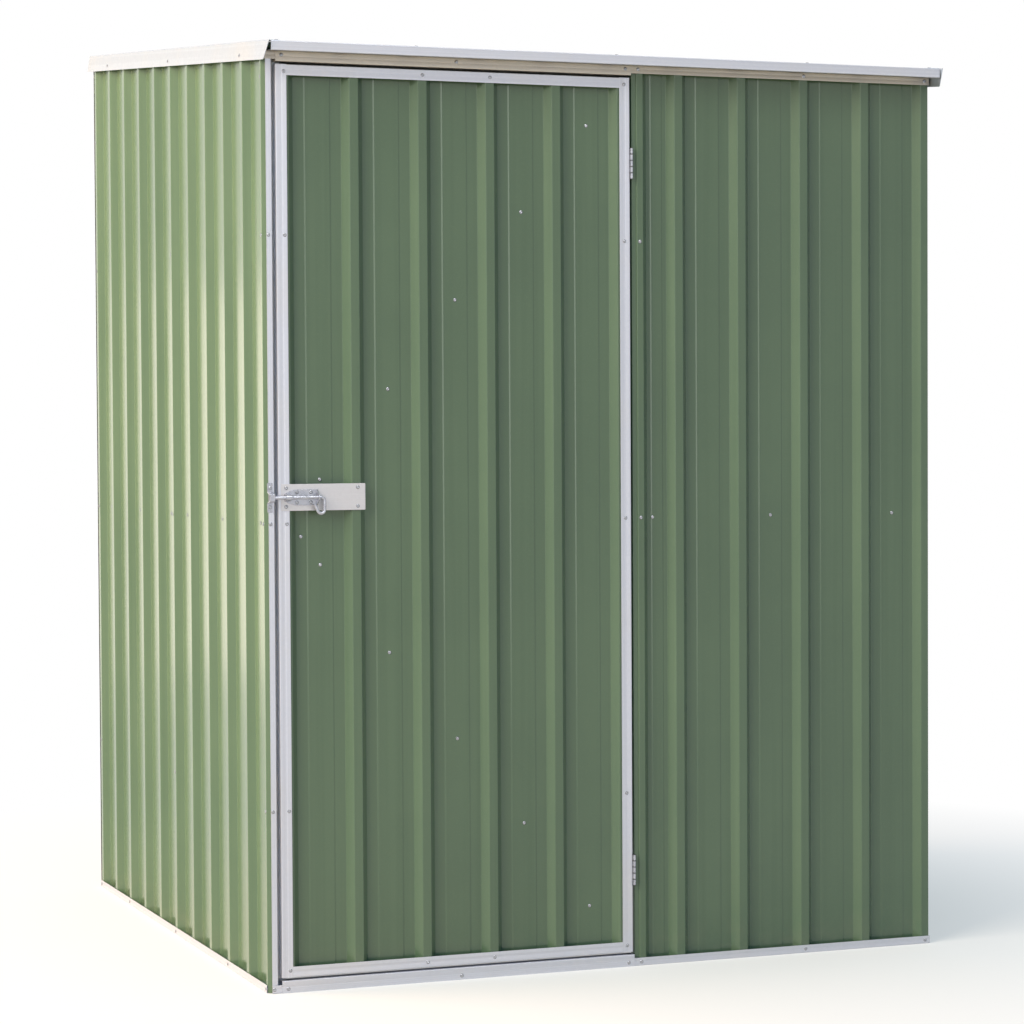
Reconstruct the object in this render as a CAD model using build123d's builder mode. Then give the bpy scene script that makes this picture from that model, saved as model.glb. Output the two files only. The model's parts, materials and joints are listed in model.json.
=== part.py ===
"""Metal tool shed: ribbed steel sheets in folded channels, a skillion roof, one hinged door and a pad bolt.

Millimetres, +Z up, front towards -Y. The origin is under the middle of the whole shed, at ground level.
"""
import os
from math import atan, cos, sin, tan

from build123d import *

os.makedirs("parts", exist_ok=True)

# Ribbed sheet, shared by walls, door and roof
rib_period = 148.5
rib_height = 15.6
crest_width = 18.7
rib_slope_run = 13.3
swage_rise = 0.8
swage_step = 3.0
swage_width_share = 0.5
sheet_gauge = 0.5
ribs_per_sheet = 5
sheets_per_wall = 2
edge_leg = 12.0
corner_run = 9.0
lap_slack = 0.05
lap_leg_share = 0.6

# Folded channels of the frame
channel_gauge = 1.0
channel_height = 17.0
sheet_slack = 1.3
groove_depth = 0.2
groove_width = 2.4
corner_margin = 2.5
channel_end_setback = 11.0
front_end_setback = 1.0
tongue_length = 18.0

# Heights and roof
front_height = 1919.0
roof_rise_share = 0.097
front_overhang = 48.0
back_overhang = 16.0
capping_lap = 22.0
capping_end_gap = 6.5
barge_height = 39.5
barge_flare = 6.0
barge_lap = 28.0
barge_reach = 11.0
barge_end_rake = 21.0
barge_corner = 6.0
barge_notch = 4.0

# Doorway
latch_gap = 8.1
hinge_gap = 6.0
door_head_gap = 5.4
door_sill_gap = 5.5
sill_height = 25.5
header_drop = 4.6
jamb_cover = 11.3
stop_gap = 5.3
stop_width = 24.0
post_return = 10.0
post_setback = 5.0
post_depth = 20.0
post_flange = 26.0
jamb_crest = 15.3

# Inside rails
rail_width = 36.0
rail_depth = 12.0
rail_corner_gap = 16.0

# Door leaf
stile_face = 23.5
rail_face = 22.0
door_sheet_inset = 9.3
brace_width = 30.0
brace_depth = 10.0
brace_far_inset = 68.0
brace_near_inset = 64.0
brace_end_inset = 66.0
brace_middle_gap = 92.0

# Butt hinges
hinge_length = 66.0
hinge_low_inset = 176.0
hinge_high_inset = 181.0
barrel_diameter = 5.6
pin_diameter = 2.8
barrel_proud = 0.2
leaf_gauge = 1.0
leaf_depth = 16.0
knuckle_slack = 0.3
pin_slack = 0.08
knuckles = 5

# Pad bolt, its plate, its keeper and its handle
bolt_above_middle = 52.0
plate_length = 180.0
plate_width = 54.6
plate_gauge = 1.2
plate_edge_inset = 5.4
plate_corner = 2.0
base_length = 71.0
base_width = 32.5
base_gauge = 1.5
base_inset = 6.0
base_tip_width = 14.0
base_straight = 40.0
rod_diameter = 7.5
rod_length = 105.5
rod_standoff = 13.0
rod_slack = 0.4
rod_entry = 11.5
collar_inset = 0.5
collar_length = 12.0
collar_gauge = 1.5
collar_foot = 16.4
ear_gauge = 2.0
ear_radius = 7.5
keeper_inset = 4.0
keeper_width = 11.0
keeper_length = 60.0
keeper_gauge = 1.2
keeper_foot = 21.5
keeper_slope = 3.0
handle_wire = 7.0
handle_sides = 16
handle_bend = 8.0
handle_drop = 17.5
handle_turn_radius = 7.4
handle_leg = 15.5
handle_lean = 25.0

# Sizes that follow
channel_width = rib_height + sheet_gauge + 2 * (sheet_slack + channel_gauge)
crest_inset = channel_gauge + sheet_slack
pan_back = crest_inset + rib_height + sheet_gauge
sheet_run = rib_period * ribs_per_sheet
wall_run = sheet_run * sheets_per_wall + crest_width + 2 * corner_margin
outer_span = wall_run + channel_width
half_span = outer_span / 2
slope = atan(roof_rise_share)
deck_depth = rib_height + sheet_gauge + sheet_slack
capping_height = deck_depth + 2 * channel_gauge
roof_top = deck_depth + 2 * channel_gauge
barge_foot = roof_top - barge_height
roof_start = -front_overhang
roof_end = (outer_span + back_overhang) / cos(slope)
roof_run = roof_end - roof_start
barge_start = roof_start - barge_reach
front_y = ((roof_top + barge_foot) * sin(slope) - (barge_start + roof_end) * cos(slope)) / 2
back_y = front_y + outer_span
back_height = front_height + (outer_span - channel_width) * roof_rise_share
jamb_face = -half_span + channel_width + channel_gauge
door_width = sheet_run + crest_width + 2 * door_sheet_inset
door_left = jamb_face + latch_gap
door_right = door_left + door_width
post_face = door_right + hinge_gap
header_foot = front_height - channel_height - header_drop
door_foot = sill_height + door_sill_gap
door_top = header_foot - door_head_gap
door_middle = (door_foot + door_top) / 2
rail_middle = front_height / 2
bolt_height = door_middle + bolt_above_middle
hinge_x = door_right + hinge_gap / 2
hinge_y = front_y - barrel_diameter / 2 - barrel_proud
rod_y = front_y - rod_standoff
base_left = door_left + plate_edge_inset + base_inset
base_right = base_left + base_length
rod_tip = jamb_face - rod_entry
up_slope = Vector(0, cos(slope), sin(slope))
roof_normal = Vector(0, -sin(slope), cos(slope))


def save(piece, name):
    """Label a finished piece and write it under its own name."""
    piece.part.label = name
    export_step(piece.part, f"parts/{name}.step")


def folded(path, gauge):
    """Closed outline of a folded strip: the path, and the path set off to its left by the gauge."""
    points = [Vector(*point) for point in path]
    normals = []
    for start, end in zip(points, points[1:]):
        along = (end - start).normalized()
        normals.append(Vector(-along.Y, along.X))
    before = [normals[0]] + normals
    after = normals + [normals[-1]]
    back = []
    for point, first, second in zip(points, before, after):
        mitre = (first + second) * (gauge / (1 + first.dot(second)))
        back.append(point + mitre)
    return points + back[::-1]


def grooved(start, end):
    """Points from start to end with a rolled groove in the middle, on the left of the way."""
    first, last = Vector(*start), Vector(*end)
    along = (last - first).normalized()
    middle = (first + last) / 2
    dip = middle + Vector(-along.Y, along.X) * groove_depth
    half = along * (groove_width / 2)
    return [first, middle - half, dip, middle + half, last]


def channel_path(width, height):
    """Outside of a channel, from one leg's edge round the web to the other, with grooved legs."""
    return grooved((0, height), (0, 0)) + grooved((width, 0), (width, height))


def ribbed(crests, lapped=False, end_run=0):
    """Outer face of a sheet across its ribs: each crest is a (left, right) pair, depth grows inwards.

    A lapped sheet starts over its neighbour's rib, and the last leg may slant over a run.
    """
    rise = sheet_gauge + lap_slack if lapped else 0
    slant = (rib_slope_run**2 + rib_height**2) ** 0.5 / rib_height
    spread = rise * (slant - rib_slope_run / rib_height)
    left, right = crests[0]
    path = [(left, edge_leg)]
    if lapped:
        leg_run = rib_slope_run * lap_leg_share
        path = [(left - spread - leg_run, rib_height * lap_leg_share - rise)]
    path += [(left - spread, -rise), (right + spread, -rise)]
    pan_start = right + rib_slope_run + rise * slant
    for left, right in crests[1:]:
        pan_end = left - rib_slope_run
        middle = (pan_start + pan_end) / 2
        swage = (pan_end - pan_start) * swage_width_share / 2
        path += [
            (pan_start, rib_height),
            (middle - swage - swage_step, rib_height),
            (middle - swage, rib_height - swage_rise),
            (middle + swage, rib_height - swage_rise),
            (middle + swage + swage_step, rib_height),
            (pan_end, rib_height),
            (left, 0),
            (right, 0),
        ]
        pan_start = right + rib_slope_run
    path[-1] = (right - end_run, 0)
    return path + [(right, edge_leg)]


def crest_row(last_right, first, last):
    """Crests counted back from the one whose right edge is given, from number first down to last."""
    rights = [last_right - number * rib_period for number in range(first, last - 1, -1)]
    return [(right - crest_width, right) for right in rights]


def folded_piece(name, plane, path, gauge, length):
    """A piece of one folded section, carried straight along the plane's normal."""
    with BuildPart() as piece:
        with BuildSketch(plane):
            with BuildLine():
                Polyline(*folded(path, gauge), close=True)
            make_face()
        extrude(amount=length)
    save(piece, name)


def channel_piece(name, plane, length, tongue=0):
    """A channel carried along the plane's normal, its outer leg running on from the end as a tongue.

    A tongue less than zero runs back from the start instead.
    """
    with BuildPart() as channel:
        with BuildSketch(plane):
            with BuildLine():
                Polyline(*folded(channel_path(channel_width, channel_height), channel_gauge), close=True)
            make_face()
        extrude(amount=length)
        if tongue:
            with BuildSketch(plane):
                with BuildLine():
                    Polyline(*folded(grooved((0, channel_height), (0, 0)), channel_gauge), close=True)
                make_face()
            extrude(amount=length + tongue if tongue > 0 else tongue)
    save(channel, name)


def deck_point(x, along, above):
    """Point over the roof's underside: along the slope from the front wall, and above it."""
    return Vector(x, front_y, front_height) + up_slope * along + roof_normal * above


# The walls stand in a pinwheel: each starts behind its neighbour and ends flush with the next face.
# Each has its starting corner, the way it runs and the way into the shed.
walls = {
    "front": (Vector(-half_span, front_y), Vector(1, 0), Vector(0, 1)),
    "right": (Vector(half_span, front_y), Vector(0, 1), Vector(-1, 0)),
    "back": (Vector(half_span, back_y), Vector(-1, 0), Vector(0, -1)),
    "left": (Vector(-half_span, back_y), Vector(0, -1), Vector(1, 0)),
}
wall_start = {side: channel_width for side in walls}
wall_start["front"] = channel_width + channel_gauge
wall_end = {side: outer_span - channel_end_setback for side in walls}
wall_end["front"] = outer_span - front_end_setback

# Base channels, open upwards; the front one's outer leg runs back over the jamb
for side, (corner, run, inward) in walls.items():
    foot = Plane(corner + run * wall_start[side], x_dir=inward, z_dir=run)
    tongue = -jamb_cover - channel_gauge if side == "front" else 0
    channel_piece(f"{side}_base_channel", foot, wall_end[side] - wall_start[side], tongue)

# Level top channels over the front and back walls, open downwards; the front one's outer leg runs on over
# the jamb
for side, height, tongue in (("front", front_height, tongue_length), ("back", back_height, 0)):
    corner, run, inward = walls[side]
    head = Plane(corner + run * wall_end[side] + Vector(0, 0, height), x_dir=inward, z_dir=-run)
    channel_piece(f"{side}_top_channel", head, wall_end[side] - wall_start[side], tongue)

# Raking top channels over the side walls, under the roof sheets
rake_clearance = channel_height * tan(slope) + sheet_slack
left_rake_start = channel_end_setback / cos(slope)
left_rake_end = (outer_span - channel_width - rake_clearance) / cos(slope)
right_rake_start = channel_width / cos(slope)
right_rake_end = (outer_span - channel_end_setback) / cos(slope)
left_head = Plane(deck_point(-half_span, left_rake_start, 0), x_dir=(1, 0, 0), z_dir=up_slope)
right_head = Plane(deck_point(half_span, right_rake_end, 0), x_dir=(-1, 0, 0), z_dir=-up_slope)
channel_piece("left_top_channel", left_head, left_rake_end - left_rake_start)
channel_piece("right_top_channel", right_head, right_rake_end - right_rake_start)

# Wall sheets: two to a wall, the second lapped over the first one's last rib
sheet_end = outer_span - corner_margin
rib_count = ribs_per_sheet * sheets_per_wall
full_row = crest_row(sheet_end, rib_count, ribs_per_sheet)
lapped_row = crest_row(sheet_end, ribs_per_sheet, 0)
sheet_names = {
    "right": ("right_wall_front_sheet", "right_wall_rear_sheet"),
    "back": ("back_wall_right_sheet", "back_wall_left_sheet"),
    "left": ("left_wall_rear_sheet", "left_wall_front_sheet"),
}
under_roof = Plane(deck_point(0, 0, -channel_gauge), x_dir=(1, 0, 0), z_dir=roof_normal)
for side, names in sheet_names.items():
    corner, run, inward = walls[side]
    sheet_corner = corner + inward * crest_inset + Vector(0, 0, channel_gauge)
    floor = Plane(sheet_corner, x_dir=run, z_dir=(0, 0, 1))
    for name, row, lapped in zip(names, (full_row, lapped_row), (False, True)):
        with BuildPart() as wall_sheet:
            with BuildSketch(floor):
                with BuildLine():
                    Polyline(*folded(ribbed(row, lapped, corner_run * lapped), sheet_gauge), close=True)
                make_face()
            extrude(amount=back_height - 2 * channel_gauge)
            if side != "back":
                split(bisect_by=under_roof, keep=Keep.BOTTOM)
        save(wall_sheet, name)

# Front sheet beside the doorway, with a narrow first rib at the hinge side
front_corner = walls["front"][0]
jamb_rib = post_face + post_return + half_span
front_row = [(jamb_rib, jamb_rib + jamb_crest)] + crest_row(sheet_end, ribs_per_sheet - 1, 0)
front_floor = Plane(front_corner + Vector(0, crest_inset, channel_gauge), x_dir=(1, 0, 0), z_dir=(0, 0, 1))
folded_piece(
    "front_wall_sheet", front_floor, ribbed(front_row), sheet_gauge, front_height - 2 * channel_gauge
)

# Sill and header, each cupping the front channel from outside
cup_wrap = channel_gauge + 2 * groove_depth
cup_width = channel_width + 2 * cup_wrap
cup_y = front_y - cup_wrap
cup_length = hinge_x - door_left
sill_path = channel_path(cup_width, sill_height)
sill_end = Plane((hinge_x, cup_y, sill_height), x_dir=(0, 1, 0), z_dir=(-1, 0, 0))
folded_piece("door_sill", sill_end, sill_path, channel_gauge, cup_length)
header_end = Plane((door_left, cup_y, header_foot), x_dir=(0, 1, 0), z_dir=(1, 0, 0))
header_path = channel_path(cup_width, channel_height + header_drop - sheet_slack)
folded_piece("door_header", header_end, header_path, channel_gauge, cup_length)

# Latch-side jamb: it covers the left wall's end, turns in and ends in a stop behind the door
jamb_front = front_y + corner_margin - channel_gauge
stop_face = front_y + channel_width + stop_gap
jamb_path = [
    (jamb_face - channel_gauge - jamb_cover, jamb_front),
    (jamb_face, jamb_front),
    (jamb_face, stop_face),
    (jamb_face + stop_width, stop_face),
]
folded_piece("door_jamb", Plane.XY, jamb_path, channel_gauge, front_height - channel_height)

# Hinge-side post behind the front sheet's first rib
post_front = front_y + post_setback
post_path = [
    (post_face + post_flange, post_front + post_depth),
    (post_face, post_front + post_depth),
    (post_face, post_front),
    (post_face + post_return, post_front),
]
post_height = front_height - 2 * channel_height
folded_piece("hinge_post", Plane.XY.offset(channel_height), post_path, channel_gauge, post_height)

# Level rails inside the walls, at mid height
rail_path = [(rail_depth, rail_width), (0, rail_width), (0, 0), (rail_depth, 0)]
rail_foot = rail_middle - rail_width / 2
for side, (corner, run, inward) in walls.items():
    rail_start = channel_width + rail_corner_gap
    if side == "front":
        rail_start = post_face + post_flange + sheet_slack + half_span
    rail_end = outer_span - channel_width - rail_corner_gap
    place = corner + run * rail_start + inward * pan_back + Vector(0, 0, rail_foot)
    rail_plane = Plane(place, x_dir=inward, z_dir=run)
    folded_piece(f"{side}_wall_rail", rail_plane, rail_path, channel_gauge, rail_end - rail_start)

# Roof sheets, ribs up, inside the front and back cappings
crest_level = rib_height + sheet_gauge
sheet_setback = channel_gauge + sheet_slack
roof_crest_end = (sheet_run * sheets_per_wall + crest_width) / 2
roof_foot = Plane(
    deck_point(0, roof_start + sheet_setback, crest_level), x_dir=(1, 0, 0), z_dir=up_slope
)
roof_rows = {
    "left_roof_sheet": (crest_row(roof_crest_end, rib_count, ribs_per_sheet), False),
    "right_roof_sheet": (crest_row(roof_crest_end, ribs_per_sheet, 0), True),
}
for name, (row, lapped) in roof_rows.items():
    folded_piece(name, roof_foot, ribbed(row, lapped), sheet_gauge, roof_run - 2 * sheet_setback)

# Cappings round the front and back edges of the roof
capping_half = half_span - channel_gauge
capping_length = 2 * capping_half - capping_end_gap
front_edge = Plane(
    deck_point(capping_end_gap - capping_half, roof_start, -channel_gauge), x_dir=up_slope, z_dir=(1, 0, 0)
)
back_edge = Plane(
    deck_point(capping_half, roof_end, -channel_gauge), x_dir=-up_slope, z_dir=(-1, 0, 0)
)
cappings = {
    "roof_front_capping": (front_edge, capping_lap),
    "roof_back_capping": (back_edge, back_overhang - sheet_slack),
}
for name, (edge, under_lap) in cappings.items():
    capping_path = [(capping_lap, capping_height), (0, capping_height), (0, 0), (under_lap, 0)]
    folded_piece(name, edge, capping_path, channel_gauge, capping_length)

# Barges over the roof's side edges: flared sides that reach past the capping to a raked end with a
# rounded foot, and laps that stop behind the capping's face
rake_cut = Plane(
    deck_point(0, barge_start, roof_top),
    x_dir=(1, 0, 0),
    z_dir=up_slope * barge_height + roof_normal * barge_end_rake,
)
for name, hand in (("left_barge", 1), ("right_barge", -1)):
    barge_side = [(hand * (half_span + barge_flare), barge_foot), (hand * half_span, roof_top)]
    barge_path = barge_side + [(hand * (half_span - barge_lap), roof_top)]
    side_plane = Plane(deck_point(0, barge_start, 0), x_dir=(-1, 0, 0), z_dir=up_slope)
    with BuildPart() as barge:
        with BuildSketch(side_plane):
            with BuildLine():
                Polyline(*folded(barge_side[::hand], channel_gauge), close=True)
            make_face()
        extrude(amount=roof_end - barge_start)
        with BuildSketch(side_plane.offset(barge_reach + barge_notch)):
            with BuildLine():
                Polyline(*folded(barge_path[::hand], channel_gauge), close=True)
            make_face()
        extrude(amount=roof_run - barge_notch)
        split(bisect_by=rake_cut, keep=Keep.TOP)
        foot_edges = barge.edges().filter_by(lambda edge: edge.length < 2 * channel_gauge)
        fillet(foot_edges.sort_by(Axis.Z)[0], barge_corner)
    save(barge, name)

# Door frame: stiles the full height, rails butted between them
door_height = door_top - door_foot
stile_plane = Plane((0, front_y, door_foot), x_dir=(1, 0, 0), z_dir=(0, 0, 1))
left_stile_path = grooved((door_left + stile_face, channel_width), (door_left, channel_width))
left_stile_path += grooved((door_left, 0), (door_left + stile_face, 0))
right_stile_path = grooved((door_right - stile_face, 0), (door_right, 0))
right_stile_path += grooved((door_right, channel_width), (door_right - stile_face, channel_width))
folded_piece("door_left_stile", stile_plane, left_stile_path, channel_gauge, door_height)
folded_piece("door_right_stile", stile_plane, right_stile_path, channel_gauge, door_height)
door_rail_length = door_width - 2 * stile_face
door_rail_path = channel_path(channel_width, rail_face)
low_rail = Plane((door_left + stile_face, front_y, door_foot), x_dir=(0, 1, 0), z_dir=(1, 0, 0))
high_rail = Plane((door_right - stile_face, front_y, door_top), x_dir=(0, 1, 0), z_dir=(-1, 0, 0))
folded_piece("door_bottom_rail", low_rail, door_rail_path, channel_gauge, door_rail_length)
folded_piece("door_top_rail", high_rail, door_rail_path, channel_gauge, door_rail_length)

# Door sheet, one full sheet between the stiles
door_row = crest_row(door_right - door_sheet_inset, ribs_per_sheet, 0)
door_sheet_plane = Plane(
    (0, front_y + crest_inset, door_foot + channel_gauge), x_dir=(1, 0, 0), z_dir=(0, 0, 1)
)
folded_piece(
    "door_sheet", door_sheet_plane, ribbed(door_row), sheet_gauge, door_height - 2 * channel_gauge
)

# Door braces: two shallow channels on the inside, meeting towards the latch
brace_near_x = door_left + brace_near_inset
brace_far_x = door_right - brace_far_inset
brace_path = [(brace_depth, brace_width), (0, brace_width), (0, 0), (brace_depth, 0)]
brace_runs = {
    "door_upper_brace": (door_middle + brace_middle_gap / 2, door_top - brace_end_inset),
    "door_lower_brace": (door_middle - brace_middle_gap / 2, door_foot + brace_end_inset),
}
for name, (near_z, far_z) in brace_runs.items():
    near = Vector(brace_near_x, front_y + pan_back, near_z)
    far = Vector(brace_far_x, front_y + pan_back, far_z)
    along = (far - near).normalized()
    across = along.cross(Vector(0, 1, 0))
    brace_plane = Plane(near - across * (brace_width / 2), x_dir=(0, 1, 0), z_dir=along)
    folded_piece(name, brace_plane, brace_path, channel_gauge, (far - near).length)

# Butt hinges in the gap between door and post, knuckles shared in turn along one pin
barrel_radius = barrel_diameter / 2
pin_radius = pin_diameter / 2
knuckle_pitch = hinge_length / knuckles
leaf_start = hinge_y + barrel_radius + knuckle_slack
leaf_end = front_y + leaf_depth
hinge_middles = {"upper": door_top - hinge_high_inset, "lower": door_foot + hinge_low_inset}
for level, hinge_middle in hinge_middles.items():
    hinge_foot = hinge_middle - hinge_length / 2
    for leaf, hand, first, bore in (("frame", 1, 0, 0), ("door", -1, 1, pin_slack)):
        plate_x = hinge_x + hand * (hinge_gap - leaf_gauge) / 2
        with BuildPart() as hinge_leaf:
            with BuildSketch(Plane.XY.offset(hinge_foot)):
                with Locations((plate_x, (leaf_start + leaf_end) / 2)):
                    Rectangle(leaf_gauge, leaf_end - leaf_start)
            extrude(amount=hinge_length)
            for number in range(first, knuckles, 2):
                slack = knuckle_slack * first
                with BuildSketch(Plane.XY.offset(hinge_foot + number * knuckle_pitch + slack)):
                    with Locations((hinge_x, hinge_y)):
                        Circle(barrel_radius)
                    with Locations((plate_x, (leaf_start + hinge_y) / 2)):
                        Rectangle(leaf_gauge, leaf_start - hinge_y)
                    with Locations((hinge_x, hinge_y)):
                        Circle(pin_radius + bore, mode=Mode.SUBTRACT)
                extrude(amount=knuckle_pitch - 2 * slack)
        save(hinge_leaf, f"{level}_hinge_{leaf}_leaf")
    with BuildPart() as hinge_pin:
        with BuildSketch(Plane.XY.offset(hinge_foot)):
            with Locations((hinge_x, hinge_y)):
                Circle(pin_radius)
        extrude(amount=hinge_length)
    save(hinge_pin, f"{level}_hinge_pin")

# Bolt plate riveted across the door's latch stile
plate_left = door_left + plate_edge_inset
with BuildPart() as bolt_plate:
    with BuildSketch(Plane.XZ.offset(-front_y)):
        with Locations((plate_left + plate_length / 2, bolt_height)):
            RectangleRounded(plate_length, plate_width, plate_corner)
    extrude(amount=plate_gauge)
save(bolt_plate, "bolt_plate")

# Bolt base: a lance-shaped plate with a raised collar and an ear, both bored for the rod
plate_front = front_y - plate_gauge
base_depth = plate_front - base_gauge - rod_y
rod_axis = Plane((0, rod_y, bolt_height), x_dir=(0, 1, 0), z_dir=(1, 0, 0))
rod_radius = rod_diameter / 2
bore_radius = rod_radius + rod_slack
collar_radius = bore_radius + collar_gauge
with BuildPart() as bolt_base:
    with BuildSketch(Plane.XZ.offset(-plate_front)):
        with BuildLine():
            shoulder = base_right - base_straight
            tip_top = (base_left, bolt_height + base_tip_width / 2)
            top = Line((base_right, bolt_height + base_width / 2), (shoulder, bolt_height + base_width / 2))
            TangentArc(top @ 1, tip_top, tangent=top % 1)
            Line(tip_top, (base_left, bolt_height))
            Line((base_right, bolt_height), top @ 0)
            mirror(about=Plane.XZ.offset(-bolt_height))
        make_face()
    extrude(amount=base_gauge)
    with BuildSketch(rod_axis.offset(base_left + collar_inset)):
        Circle(collar_radius)
        with Locations((base_depth - base_gauge / 2, 0)):
            Rectangle(base_gauge, collar_foot)
        make_hull()
        Circle(bore_radius, mode=Mode.SUBTRACT)
        with Locations((base_depth / 2, 0)):
            Rectangle(base_depth, 2 * bore_radius, mode=Mode.SUBTRACT)
    extrude(amount=collar_length)
    with BuildSketch(rod_axis.offset(base_right - ear_gauge)):
        Circle(ear_radius)
        with Locations((base_depth - base_gauge / 2, 0)):
            Rectangle(base_gauge, base_width)
        make_hull()
        Circle(bore_radius, mode=Mode.SUBTRACT)
    extrude(amount=ear_gauge)
save(bolt_base, "bolt_base")

# Keeper: a strap on the jamb, folded out round the rod's tip
strap_face = jamb_front - keeper_gauge - rod_y
keeper_face = -bore_radius - keeper_gauge
keeper_half = [
    (strap_face, keeper_length / 2),
    (strap_face, keeper_foot / 2),
    (keeper_face, keeper_foot / 2 - keeper_slope),
]
keeper_path = keeper_half + [(depth, -rise) for depth, rise in keeper_half[::-1]]
keeper_plane = rod_axis.offset(jamb_face - keeper_inset - keeper_width)
folded_piece("bolt_keeper", keeper_plane, keeper_path, keeper_gauge, keeper_width)

# Bolt rod, shot into the keeper
with BuildPart() as bolt_rod:
    with BuildSketch(rod_axis.offset(rod_tip)):
        Circle(rod_radius)
    extrude(amount=rod_length)
save(bolt_rod, "bolt_rod")

# Handle: the rod's end bent down and back into a hanging hook
with BuildPart() as bolt_handle:
    hook_plane = Plane((rod_tip + rod_length, rod_y, bolt_height), x_dir=(1, 0, 0), z_dir=(0, -1, 0))
    with BuildLine(hook_plane) as hook:
        bend = JernArc((0, 0), (1, 0), handle_bend, -90)
        fall = Line(bend @ 1, (handle_bend, -handle_bend - handle_drop))
        JernArc((handle_bend, -handle_bend - handle_drop), (0, -1), handle_turn_radius, handle_lean - 180)
        PolarLine(hook.edges()[-1] @ 1, handle_leg, angle=90 + handle_lean)
    with BuildSketch(Plane(hook.line @ 0, z_dir=hook.line % 0)):
        RegularPolygon(handle_wire / 2, handle_sides)
    sweep()
save(bolt_handle, "bolt_handle")
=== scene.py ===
import json
from math import cos, pi, radians, sin, tan

import bmesh
import bpy
from mathutils import Matrix, Vector
from mathutils.bvhtree import BVHTree

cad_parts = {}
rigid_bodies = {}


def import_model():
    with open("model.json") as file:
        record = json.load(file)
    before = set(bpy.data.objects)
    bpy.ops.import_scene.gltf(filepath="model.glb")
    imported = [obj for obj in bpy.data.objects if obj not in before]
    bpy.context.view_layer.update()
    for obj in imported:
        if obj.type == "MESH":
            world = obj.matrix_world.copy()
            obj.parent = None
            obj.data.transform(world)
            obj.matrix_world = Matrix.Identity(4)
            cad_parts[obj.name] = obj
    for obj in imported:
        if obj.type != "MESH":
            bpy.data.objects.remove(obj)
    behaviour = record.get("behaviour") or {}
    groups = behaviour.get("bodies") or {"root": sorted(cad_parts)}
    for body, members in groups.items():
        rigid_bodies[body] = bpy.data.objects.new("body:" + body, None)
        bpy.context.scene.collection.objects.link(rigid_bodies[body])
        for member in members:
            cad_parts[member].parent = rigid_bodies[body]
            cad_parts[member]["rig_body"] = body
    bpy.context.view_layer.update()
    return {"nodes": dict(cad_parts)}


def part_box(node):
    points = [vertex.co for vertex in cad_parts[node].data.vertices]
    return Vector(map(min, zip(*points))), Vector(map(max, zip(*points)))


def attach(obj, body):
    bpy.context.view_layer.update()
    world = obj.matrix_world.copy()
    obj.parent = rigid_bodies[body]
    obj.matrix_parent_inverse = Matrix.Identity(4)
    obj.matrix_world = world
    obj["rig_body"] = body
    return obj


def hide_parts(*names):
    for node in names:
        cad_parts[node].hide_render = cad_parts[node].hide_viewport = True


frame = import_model()
cadNodes = frame["nodes"]
scene = bpy.context.scene
scene.view_settings.view_transform = "Standard"
print("frame loaded:", len(cadNodes), "nodes")

# Camera at the photograph's viewing angle: to the left of the doorway, at chest height
camera = {
    "place": (-2.41424, -6.46281, 1.16526),
    "turn": 20.930,  # degrees to the right of straight ahead
    "tip": -1.769,  # degrees above the level
    "roll": -0.312,
    "lens": 102.80,
    "sensor": 36.0,
    "clipEnd": 200.0,
}


def makeCamera():
    turn, tip, roll = (radians(camera[key]) for key in ("turn", "tip", "roll"))
    ahead = Vector((sin(turn) * cos(tip), cos(turn) * cos(tip), sin(tip)))
    right = Vector((cos(turn), -sin(turn), 0))
    up = right.cross(ahead)
    rolledRight = right * cos(roll) + up * sin(roll)
    rolledUp = up * cos(roll) - right * sin(roll)
    lens = bpy.data.cameras.new("photoCamera")
    lens.lens = camera["lens"]
    lens.sensor_width = camera["sensor"]
    lens.clip_end = camera["clipEnd"]
    body = bpy.data.objects.new("photoCamera", lens)
    turned = Matrix((rolledRight, rolledUp, -ahead)).transposed()
    body.matrix_world = Matrix.Translation(camera["place"]) @ turned.to_4x4()
    scene.collection.objects.link(body)
    scene.camera = body


makeCamera()
print("camera set")


# Small helpers for node trees, used for finishes, rivets and the studio alike
def setInputs(tree, node, inputs):
    for key, value in inputs.items():
        socket = node.inputs[key]
        if isinstance(value, bpy.types.NodeSocket):
            tree.links.new(value, socket)
        else:
            socket.default_value = value


def addNode(tree, kind, inputs=None, **settings):
    node = tree.nodes.new(kind)
    for key, value in settings.items():
        setattr(node, key, value)
    setInputs(tree, node, inputs or {})
    return node


def calculate(tree, operation, *values):
    inputs = dict(enumerate(values))
    return addNode(tree, "ShaderNodeMath", inputs, operation=operation).outputs[0]


def remap(tree, value, fromLow, fromHigh, toLow, toHigh):
    inputs = {
        "Value": value,
        "From Min": fromLow,
        "From Max": fromHigh,
        "To Min": toLow,
        "To Max": toHigh,
    }
    return addNode(tree, "ShaderNodeMapRange", inputs).outputs["Result"]


def mixColour(tree, factor, first, second):
    inputs = {0: factor, 6: first, 7: second}  # the colour sockets of a node that has several kinds
    return addNode(tree, "ShaderNodeMix", inputs, data_type="RGBA").outputs[2]


noiseRoughness = 0.55


def noise(tree, place, scale, detail):
    inputs = {"Vector": place, "Scale": scale, "Detail": detail, "Roughness": noiseRoughness}
    return addNode(tree, "ShaderNodeTexNoise", inputs).outputs["Fac"]


def streaks(tree, place, stretch, detail):
    drawn = addNode(tree, "ShaderNodeMapping", {"Vector": place, "Scale": stretch})
    return noise(tree, drawn.outputs["Vector"], 1.0, detail)


def bump(tree, height, strength, depth, over=None):
    inputs = {"Height": height, "Strength": strength, "Distance": depth}
    if over is not None:
        inputs["Normal"] = over
    return addNode(tree, "ShaderNodeBump", inputs).outputs["Normal"]


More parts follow.
